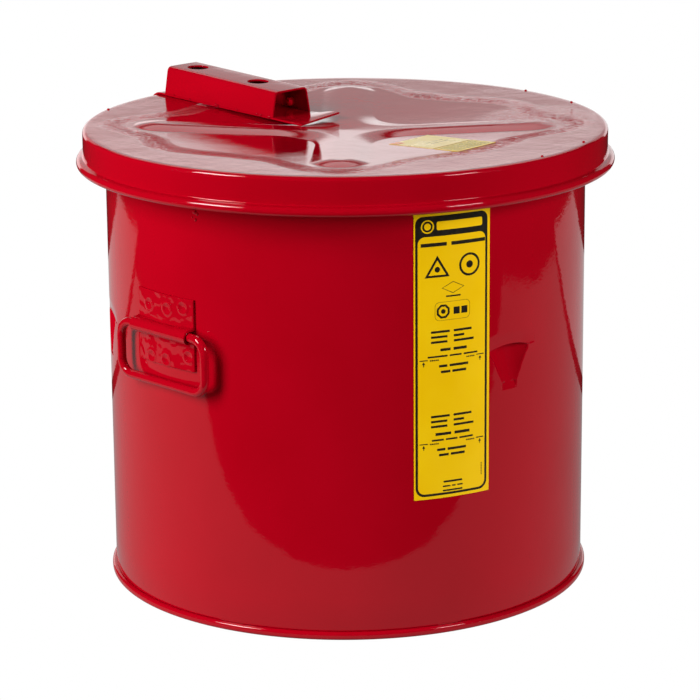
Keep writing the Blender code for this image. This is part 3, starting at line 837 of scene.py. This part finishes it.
def body_label():
    """The tall yellow label: a framed film with a header, two signs, bars for print and two fill marks."""
    width = LABEL_WIDTH * 1000
    height = (LABEL_HIGH - LABEL_LOW) * 1000
    base = 0.00012
    film = Print()
    film.shape(rounded(0, 0, width, height, 0.6, 0.6, 3))
    film.film(FILM, YELLOW, "body_label_film", "tank", on_wall(base), ["body_label"], 1.5)
    ink = Print()
    left, right, line, low = 1.1, 2.0, 1.7, 2.1
    header = height - 16.2
    ink.band(rounded(left, low, width - right, height - 2.0, 6.5, 5.5),
             rounded(left + line, low + line, width - right - line, header, 5.0, 5.0))
    draw_signs(ink, height)
    ink.row(5.0, 54.0, height - 22.0, 4.2, (5, 7))
    for top in (83.3, 143.4):
        for row in range(3):
            ink.row(12.4, 26.3 - 1.8 * (row > 0), height - top - 3.6 * row, 2.7, (5,))
        for row, (letters, end) in enumerate(((5, 43.3), (3, 37.4), (6, 45.0))):
            ink.row(29.4, end, height - top - 3.6 * row, 2.7, (letters,))
    for x0, x1, drop, size, words in LABEL_ROWS:
        ink.row(x0, x1, height - drop, size, words)
    for k in range(8):
        ink.box(51.2, height - 190 + 1.15 * k, 52.0, height - 189.3 + 1.15 * k)
    for level in (102.8, 162.5):
        fill_mark(ink, height - level, width)
    ink.film(INK, BLACK, "body_label_print", "tank", on_wall(base + FILM + 0.00001), (), 3.0)
    badge = Print()
    badge_y = height - 9.2
    badge.ring((9.8, badge_y), 4.7, 3.8)
    badge.shape(arc((9.8, badge_y), 2.4, 0, 345, 23))
    badge.shape(rounded(16.5, badge_y - 2.9, 51.5, badge_y + 3.1, 1.2, 1.2))
    badge.film(INK, YELLOW, "body_label_badge", "tank", on_wall(base + FILM + INK + 0.00003), (), 3.0)


def fill_mark(ink, level, width):
    """A short line, an arrow under it and a dashed word, at each side of the label."""
    for x, side in ((7.0, 1), (width - 7.8, -1)):
        ink.box(x - 3.0, level - 0.35, x + 3.0, level + 0.35)
        ink.shape([(x - 1.1, level - 2.9), (x + 1.1, level - 2.9), (x, level - 0.9)])
        ink.box(x - 0.28, level - 4.4, x + 0.28, level - 2.9)
        for k in range(5):
            start = x + side * (4.6 + 1.35 * k)
            ink.box(min(start, start + side * 1.0), level - 0.9, max(start, start + side * 1.0), level + 0.1)


def draw_signs(ink, height):
    """A triangle, a ring, a lozenge and a badge, all of them plain."""
    x, y = 17.0, height - 44.9
    half, rise, line = 9.2, 15.2, 1.5
    outer = [(x - half, y), (x + half, y), (x, y + rise)]
    inner = [(x - half + line * 1.8, y + line), (x + half - line * 1.8, y + line), (x, y + rise - line * 2.2)]
    ink.band(outer, inner)
    ink.shape(arc((x, y + 5.4), 2.0, 0, 340, 17))
    centre = (41.5, height - 38.1)
    ink.ring(centre, 8.1, 6.5)
    ink.shape(arc(centre, 2.6, 0, 340, 17))
    middle = (28.8, height - 52.8)
    lozenge = [(8.6, 0), (0, 4.2), (-8.6, 0), (0, -4.2)]
    ink.band([(middle[0] + a, middle[1] + b) for a, b in lozenge],
             [(middle[0] + a * 0.92, middle[1] + b * 0.88) for a, b in lozenge])
    ink.row(23.5, 34.5, height - 58.8, 1.8, (8,))
    ring = (21.4, height - 69.2)
    ink.band(arc(ring, 5.2, 22.5, 337.5, 7), arc(ring, 3.6, 22.5, 337.5, 7))
    ink.shape(arc(ring, 1.7, 0, 330, 11))
    for x in (29.2, 35.2):
        ink.box(x, height - 71.8, x + 4.6, height - 66.8)
    ink.band(rounded(15.2, height - 75.5, 41.8, height - 62.5, 3.2, 3.2, 5),
             rounded(15.4, height - 75.3, 41.6, height - 62.7, 3.1, 3.1, 5))


def on_lid(base):
    """Lay the small label's millimetres on the lid, where the pressing carries it."""
    def place(x, y, rise):
        px, py = x / 1000, y / 1000
        c, s = cos(LID_LABEL_ANGLE), sin(LID_LABEL_ANGLE)
        gx = LID_LABEL_CENTRE[0] + px * c - py * s
        gy = LID_LABEL_CENTRE[1] + px * s + py * c
        return Vector((gx, gy, LID_TOP + lid_relief(gx, gy) + base + rise))
    return place


def lid_label():
    """Two films lying side by side in the star: a pale one with a corner tag, and an amber one."""
    half_x, half_y = LID_LABEL_HALF[0] * 1000, LID_LABEL_HALF[1] * 1000
    split = -8.5
    base = 0.0001

    def sheet(name, x0, y0, x1, y1, finish, over, nodes=()):
        film = Print()
        rows = max(2, int((y1 - y0) / 2))
        columns = max(2, int((x1 - x0) / 2))
        spots = [[film.bm.verts.new((x, y, 0)) for x in span(x0, x1, columns)] for y in span(y0, y1, rows)]
        for low, high in zip(spots, spots[1:]):
            for i in range(columns):
                film.bm.faces.new((low[i], low[i + 1], high[i + 1], high[i]))
        film.film(0.00008 if over else FILM, finish, name, "lid",
                  on_lid(base + (FILM + 0.00002 if over else 0)), nodes, 50.0)

    sheet("lid_label_pale", -half_x, split, half_x, half_y, PALE, False, ["lid_label"])
    sheet("lid_label_amber", -half_x, -half_y, half_x, split - 1.6, AMBER, False)
    sheet("lid_label_tag", -half_x + 0.4, half_y - 7.5, -half_x + 8.5, half_y - 0.4, ORANGE, True)
    lines = Print()
    for row in range(6):
        lines.row(-half_x + 3, half_x - 3, split - 5.0 - 2.9 * row, 0.8, (7, 4, 8, 5))
    for row in range(2):
        lines.row(-6.0, 12.0, 10.0 - 5 * row, 0.8, (5, 7, 4))
    lines.film(INK, BLACK, "lid_label_print", "lid", on_lid(base + FILM + 0.00002), (), 3.0)


# -------- lid
def star_outline(angle):
    """The star's radius in one direction: four round lobes joined by nearly straight sides."""
    turn = abs(angle % (pi / 2) - pi / 4)
    swell = abs((angle - STAR_SWELL_ANGLE + pi / 2) % pi - pi / 2)
    sides = STAR_WAIST + STAR_SWELL * smooth(1 - swell / radians(28))
    return sides + (STAR_TIP - sides) * smooth(1 - turn / STAR_LOBE)


def cross_share(x, y):
    """0 outside the raised cross, 1 on its flat top: two round-ended bars, joined by wide fillets."""
    along, across = abs(x + y) / sqrt(2), abs(x - y) / sqrt(2)
    straight = CROSS_REACH - CROSS_HALF_WIDTH
    first = hypot(max(along - straight, 0), across) - CROSS_HALF_WIDTH
    second = hypot(max(across - straight, 0), along) - CROSS_HALF_WIDTH
    near = max(CROSS_FILLET - abs(first - second), 0) / CROSS_FILLET
    outside = min(first, second) - near * near * CROSS_FILLET / 4
    share = min(1, max(0, -outside / CROSS_SLOPE))
    return share * (1.35 - 0.35 * share * share) if share < 1 else 1


def star_floor(r):
    middle = 1 - min(r, STAR_DISH_R) / STAR_DISH_R
    return -STAR_EDGE_DEPTH - (STAR_CENTRE_DEPTH - STAR_EDGE_DEPTH) * middle


def lid_relief(x, y):
    """Height of the pressed relief from the lid's top: a sunk star that carries a raised cross."""
    r = hypot(x, y)
    sunk = smooth((star_outline(atan2(y, x)) - r) / STAR_BLEND + 0.5)
    land = -LAND_SLOPE * max(0, LID_R - LID_SHOULDER - r)
    return (star_floor(r) + CROSS_HEIGHT * cross_share(x, y)) * sunk + land * (1 - sunk)


def peel(x, y):
    """Where the enamel has gone rough: along the star's edge, and a speckled field at the right."""
    r = hypot(x, y)
    edge = 1 - abs(star_outline(atan2(y, x)) - r + 0.001) / 0.0125
    patchy = 0.75 + 0.7 * noise.noise(Vector((x, y, 0)) * 30)
    speckled = smooth(1 - hypot(x - 0.118, y + 0.085) / 0.055) * 0.55
    return smooth(edge) * patchy + speckled * patchy + 0.02


def lid_pressing():
    """The pressed lid: flat top with the star, round shoulder, skirt and curled edge."""
    radii = span(0.004, 0.180, 176)
    flat_end = LID_R - LID_SHOULDER
    middle = (LID_BEAD_LOW + LID_BEAD_HIGH) / 2
    bead = (LID_BEAD_HIGH - LID_BEAD_LOW) / 2
    centre = (LID_BEAD_R - bead, middle)
    top = [(0, LID_TOP), *[(r, LID_TOP) for r in radii], (LID_MESH_R, LID_TOP)]
    shoulder = arc((flat_end, LID_TOP - LID_SHOULDER), LID_SHOULDER, 90, 0, 12)
    skirt = [(LID_R, z) for z in span(LID_TOP - LID_SHOULDER - 0.002, LID_BEAD_HIGH + 0.003, 5)]
    fillet = arc((LID_R + 0.0012, LID_BEAD_HIGH + 0.0014), 0.0012, 180, 262, 8)
    curl = arc(centre, bead, 78, -178, 36)
    inner = LID_R - SHEET
    inner_skirt = [(inner, LID_BEAD_LOW + 0.0045), (inner, LID_BEAD_HIGH + 0.006)]
    inner_shoulder = arc((flat_end, LID_TOP - LID_SHOULDER), LID_SHOULDER - SHEET, 0, 90, 6)
    under = [(r, LID_TOP - SHEET) for r in (LID_MESH_R, *reversed(radii), 0)]
    profile = [*top, *shoulder, *skirt, *fillet, *curl, *inner_skirt, *inner_shoulder, *under]

    def shape(angle, r, z):
        if z > LID_TOP - SHEET - 1e-6 and r < flat_end:
            x, y = r * sin(angle), -r * cos(angle)
            z += lid_relief(x, y) + waviness((x, y, 0), 22, 0.00012)
            z += PEEL_HEIGHT * peel(x, y) * noise.noise(Vector((x, y, 0)) * PEEL_GRAIN)
        return r, z

    bm = turned(profile, round_angles(600), shape)
    piece = finish_piece("lid_pressing", bm, LID_RED, "lid", ["lid_cover"], 40)
    rough = piece.data.attributes.new("peel", "FLOAT", "POINT")
    for i, vert in enumerate(piece.data.vertices):
        on_top = vert.co.z > LID_TOP - 0.013 and hypot(vert.co.x, vert.co.y) < flat_end
        rough.data[i].value = max(0, peel(vert.co.x, vert.co.y)) if on_top else 0


# Angles from the front and radii of the small pips near the lid's edge.
LID_PIPS = ((88.7, 0.1868), (70.6, 0.1858), (22.1, 0.1833), (3.7, 0.1835), (-152.7, 0.1865))


def lid_pips():
    """Small pips of enamel near the lid's edge."""
    drops = []
    for angle, r in LID_PIPS:
        a = radians(angle)
        x, y = r * sin(a), -r * cos(a)
        z = LID_TOP + lid_relief(x, y) - 0.0001
        drops.append(dome(0.0011, 0.0010, (x, y, z), (0, 0, 1), 16, 6))
    enamelled("lid_pips", gathered(drops), "lid")


def strap_slope():
    return (STRAP_OUTER_Z - STRAP_INNER_Z) / (STRAP_OUTER_Y - STRAP_INNER_Y)


def strap_top(y):
    return STRAP_INNER_Z + strap_slope() * (y - STRAP_INNER_Y) + STRAP_THICK


def hinge_strap():
    """A flat bar along the lid, its inner right corner bent up, rolled round the hinge pin behind."""
    centre = (STRAP_OUTER_Y, STRAP_OUTER_Z - STRAP_BEND)
    pin = (HINGE_Y, HINGE_Z)
    outer = KNUCKLE_BORE + STRAP_THICK
    along = span(STRAP_INNER_Y, STRAP_OUTER_Y, 60)
    under = [(y, strap_top(y) - STRAP_THICK) for y in along[:-1]]
    under += arc(centre, STRAP_BEND, 90, 0, 14) + arc(pin, KNUCKLE_BORE, 0, -290, 40)
    upper = arc(pin, outer, -290, 0, 40) + arc(centre, STRAP_BEND + STRAP_THICK, 0, 90, 14)
    upper += [(y, strap_top(y)) for y in reversed(along[:-1])]
    rings = []
    for x in span(-STRAP_HALF, STRAP_HALF, 32):
        ring = []
        for y, z in under + upper:
            lift = (x + STRAP_HALF) / (2 * STRAP_HALF) * smooth((HOUSING_INNER_Y - 0.003 - y) / 0.028)
            if z > LID_TOP - 0.02:
                z += STRAP_CORNER_LIFT * lift
            ring.append((x, y, z))
        rings.append(ring)
    piece = enamelled("lid_strap", loft(rings), "lid", ["hinge_strap"])
    break_edges(piece, 0.00035, 2, 50)


# Places along the strap and sizes of the weld's droplets.
WELD_BEADS = ((0.061, 0.0011), (0.063, 0.0007), (0.070, 0.0010), (0.0745, 0.0008), (0.096, 0.0006),
              (0.118, 0.0012), (0.1205, 0.0007), (0.150, 0.0007), (0.168, 0.0006))


def weld_beads():
    """Small droplets of weld along the near edge between the strap and the housing."""
    draw = Random(7)
    drops = []
    for y, size in WELD_BEADS:
        x = -STRAP_HALF - 0.0001 + draw.uniform(-0.0003, 0.0002)
        z = strap_top(y) + draw.uniform(-0.0003, 0.0006)
        drops.append(dome(size, size * 0.8, (x, y, z), (-0.75, 0, 0.65), 14, 5))
    enamelled("strap_welds", gathered(drops), "lid")


def housing_section(inset, height):
    """The housing's outline across the strap, an inset inside its outer face."""
    foot = STRAP_HALF - inset
    top = HOUSING_TOP_HALF - inset
    corner = HOUSING_CORNER - inset
    right = arc((top - corner, height - inset - corner), corner, 8, 90, 12)
    flank = [(foot + (right[0][0] - foot) * k / 4, right[0][1] * k / 4) for k in range(4)]
    half = [*flank, *right]
    return [*half, *[(-x, z) for x, z in reversed(half)]]


def link_housing():
    """A folded channel on the strap, closed near its far end by a flap, with two round holes in its top."""
    rings = []
    for y in span(HOUSING_INNER_Y, HOUSING_OUTER_Y, 12):
        share = (y - HOUSING_INNER_Y) / (HOUSING_OUTER_Y - HOUSING_INNER_Y)
        height = HOUSING_INNER_HEIGHT + (HOUSING_OUTER_HEIGHT - HOUSING_INNER_HEIGHT) * share
        outline = housing_section(0, height) + list(reversed(housing_section(THICK_SHEET, height)))
        rings.append([(x, y, strap_top(y) + z) for x, z in outline])
    inner = HOUSING_OUTER_Y - THICK_SHEET - 0.001
    flap = []
    section = housing_section(THICK_SHEET - 0.0001, HOUSING_OUTER_HEIGHT)
    for y in (inner, inner + THICK_SHEET):
        flap.append([(x, y, strap_top(y) + z) for x, z in section])
    parts = gathered([loft(rings), loft(flap)])
    piece = enamelled("housing_sheet", parts, "lid", ["link_housing"])
    for y in HOUSING_HOLES_Y:
        plug = [(HOUSING_HOLE_R, 0.012), (HOUSING_HOLE_R, -0.006), (0, -0.006), (0, 0.012)]
        hole = turned(plug, round_angles(64))
        bmesh.ops.translate(hole, verts=hole.verts, vec=(0, y, strap_top(y) + HOUSING_INNER_HEIGHT))
        mesh = bpy.data.meshes.new("hole")
        hole.to_mesh(mesh)
        tool = bpy.data.objects.new("hole", mesh)
        bpy.context.scene.collection.objects.link(tool)
        cut = piece.modifiers.new("hole", "BOOLEAN")
        cut.object = tool
        bake_modifiers(piece)
        bpy.data.objects.remove(tool)
    break_edges(piece, 0.0004, 3, 50)


def bake_modifiers(piece):
    """Turn a piece's modifiers into its mesh."""
    bpy.context.view_layer.update()
    done = bpy.data.meshes.new_from_object(piece.evaluated_get(bpy.context.evaluated_depsgraph_get()))
    piece.modifiers.clear()
    piece.data = done
    done.shade_smooth()
    done.set_sharp_from_angle(angle=radians(35))


def link_rivet():
    """The round-headed rivet inside the housing, on its right-hand wall."""
    low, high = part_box("link_rivet")
    lean = (STRAP_HALF - HOUSING_TOP_HALF) / HOUSING_INNER_HEIGHT
    outward = Vector((-1, 0, -lean)).normalized()
    place = (high.x, (low.y + high.y) / 2, (low.z + high.z) / 2)
    bm = dome(0.0034, 0.0026, place, outward, 32, 10, 0.0020)
    # The head gets the lifted red: painted light on a rivet that sits in the housing's shade.
    finish_piece("link_rivet_head", bm, RIVET_PAINTED_LIGHT_RED, "lid", ["link_rivet"])


# -------- basket
def pierced(rows, columns_of, hole_share, place, thick):
    """A sheet of cells with a round hole in each; place(row, column, u, v, depth) gives a point."""
    bm = bmesh.new()
    sides = 12
    around = [radians(360 / sides * k + 15) for k in range(sides)]
    hole = [(hole_share * cos(a), hole_share * sin(a)) for a in around]
    square = []
    for a in around:
        reach = 0.5 / max(abs(cos(a)), abs(sin(a)))
        square.append((reach * cos(a), reach * sin(a)))
    for row in range(rows):
        for column in range(columns_of(row)):
            loops = []
            for depth in (0, thick):
                ring = [bm.verts.new(place(row, column, u, v, depth)) for u, v in hole]
                rim = [bm.verts.new(place(row, column, u, v, depth)) for u, v in square]
                loops.append((ring, rim))
            (ring_a, rim_a), (ring_b, rim_b) = loops
            for k in range(sides):
                bm.faces.new((ring_a[k - 1], ring_a[k], rim_a[k], rim_a[k - 1]))
                bm.faces.new((ring_b[k], ring_b[k - 1], rim_b[k - 1], rim_b[k]))
                bm.faces.new((ring_a[k], ring_a[k - 1], ring_b[k - 1], ring_b[k]))
    bmesh.ops.remove_doubles(bm, verts=bm.verts, dist=2e-6)
    return bm


def basket():
    """The perforated basket: its wall, its floor, the rolled rim and the solid bands."""
    top = BASKET_RIM_Z - BASKET_RIM_WIRE - GAP
    rows, columns = 7, 84
    band_low, band_high = 0.012, 0.086
    pitch = (band_high - band_low) / rows

    def on_basket_wall(row, column, u, v, depth):
        angle = 2 * pi * (column + 0.5 + u) / columns
        r = BASKET_R - depth
        return (r * sin(angle), -r * cos(angle), band_low + pitch * (row + 0.5 + v))

    wall = pierced(rows, lambda row: columns, 0.27, on_basket_wall, BASKET_SHEET)
    solid = []
    for low, high in ((BASKET_LOW, band_low), (band_high, top)):
        inner = BASKET_R - BASKET_SHEET
        band = [(BASKET_R, high), (inner, high), (inner, low), (BASKET_R, low)]
        solid.append(turned(band, round_angles(168)))
    bm = gathered([wall, *solid])
    zinc_plated("basket_side", bm, "basket", ["basket_wall"], 40)
    basket_floor()
    rim = arc((BASKET_RIM_R, BASKET_RIM_Z), BASKET_RIM_WIRE, 0, 318, 20)
    rim += arc((BASKET_RIM_R, BASKET_RIM_Z), BASKET_RIM_WIRE - 0.0009, 318, 0, 16)
    zinc_plated("basket_rolled_rim", turned(rim, round_angles(240)), "basket", ["basket_rim"], 50)


def basket_floor():
    """The basket's floor: rings of holes round a plain middle, inside a plain border."""
    disc_r = BASKET_R - BASKET_SHEET - GAP
    first, last, rings = 0.016, 0.145, 12
    pitch = (last - first) / rings

    def holes_in(row):
        return max(8, int(round(2 * pi * (first + pitch * (row + 0.5)) / pitch)))

    def on_floor(row, column, u, v, depth):
        angle = 2 * pi * (column + 0.5 + u) / holes_in(row)
        r = first + pitch * (row + 0.5 + v)
        return (r * sin(angle), -r * cos(angle), BASKET_LOW + BASKET_SHEET - depth)

    parts = [pierced(rings, holes_in, 0.25, on_floor, BASKET_SHEET)]
    high, low = BASKET_LOW + BASKET_SHEET, BASKET_LOW
    parts.append(turned([(disc_r, high), (last, high), (last, low), (disc_r, low)], round_angles(180)))
    parts.append(turned([(0, high), (0, low), (first, low), (first, high)], round_angles(64)))
    zinc_plated("basket_bottom", gathered(parts), "basket", ["basket_floor"], 40)


def bail():
    """The basket's wire handle, folded forwards onto the rim, with its ribbed grip."""
    bend = 0.006
    stub_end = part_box("bail_wire")[1].x
    lead = radians(8)
    start = [(stub_end, 0), *arc((BAIL_R + bend, -bend), bend, 90, 180, 8)]
    path = list(start)
    for a in span(lead, pi - lead, 90):
        path.append((BAIL_R * cos(a), -BAIL_R * sin(a)))
    path += [(-x, y) for x, y in reversed(start)]
    bm = tube([(x, y, BAIL_Z) for x, y in path], BAIL_WIRE, Vector((0, 0, 1)), 18)
    zinc_plated("bail_rod", bm, "bail", ["bail_wire"])
    steps, sides = 96, 28
    bore = BAIL_WIRE + 2 * GAP
    stations = []
    for i in range(steps + 1):
        share = 2 * i / steps - 1
        a = radians(-90 + GRIP_HALF_ANGLE * share)
        rib = 0.0004 * cos(i / steps * 24 * 2 * pi) if abs(share) < 0.86 else 0
        end = 0.0014 * smooth((abs(share) - 0.93) / 0.07)
        stations.append((Vector((cos(a), sin(a), 0)), GRIP_R - 0.0005 + rib - end))
    up = Vector((0, 0, 1))
    rings = []
    for k in range(sides + 1):
        turn = 2 * pi * (k % sides) / sides
        walls = stations + [(outward, bore) for outward, _ in reversed(stations)]
        rings.append([up * BAIL_Z + outward * (BAIL_R + radius * cos(turn)) + up * radius * sin(turn)
                      for outward, radius in walls])
    finish_piece("bail_grip_rubber", loft(rings, ends=False), RUBBER, "bail", ["bail_grip"])


tank_body()
tank_rings()
for side, label in ((-1, "left"), (1, "right")):
    handle_bracket(side, label)
    handle_ring(side, label)
hinge_parts()
wall_drips()
body_label()
lid_pressing()
lid_pips()
hinge_strap()
weld_beads()
link_housing()
link_rivet()
lid_label()
basket()
bail()
for node in ("basket_lug_1", "basket_lug_2", "basket_lug_3", "bail_ear_left", "bail_ear_right"):
    soften(node, ZINC)
